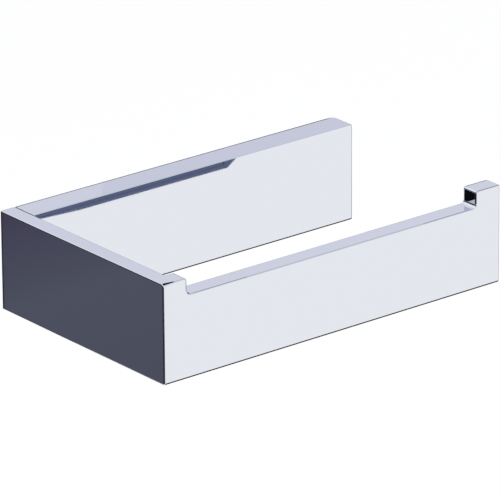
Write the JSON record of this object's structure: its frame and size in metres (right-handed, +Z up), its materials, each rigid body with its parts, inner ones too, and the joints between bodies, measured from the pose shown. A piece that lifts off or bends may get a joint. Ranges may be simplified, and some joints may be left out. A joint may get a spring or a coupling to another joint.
{
  "type": "toilet roll holder",
  "caption": "Open-ended wall toilet roll holder in chrome: back plate on a hidden bracket, side arm, and a front bar with a saddle between a lug and an end hook.",
  "frame": {"origin": "middle of the wall bracket's rear face, on the wall plane, halfway between the two wall screws", "axes": "+Y into the wall, +Z up, +X towards the open end where the roll goes on; the side arm is at -X"},
  "size_m": [0.16, 0.1308, 0.0392],
  "materials": {
    "chrome_plate": "mirror-polished chrome plate",
    "zinc_steel": "bright zinc plate, slightly dull",
    "stainless": "plain stainless steel",
    "nylon": "moulded grey nylon"
  },
  "bodies": {
    "root": {"side_arm": "chrome_plate", "front_bar": "chrome_plate", "back_plate": "chrome_plate", "wall_bracket": "zinc_steel", "wall_screw_left": "zinc_steel", "wall_screw_right": "zinc_steel", "wall_plug_left": "nylon", "wall_plug_right": "nylon", "grub_screw_left": "stainless", "grub_screw_right": "stainless", "arm_screw_upper": "stainless", "arm_screw_lower": "stainless"}
  },
  "joints": []
}
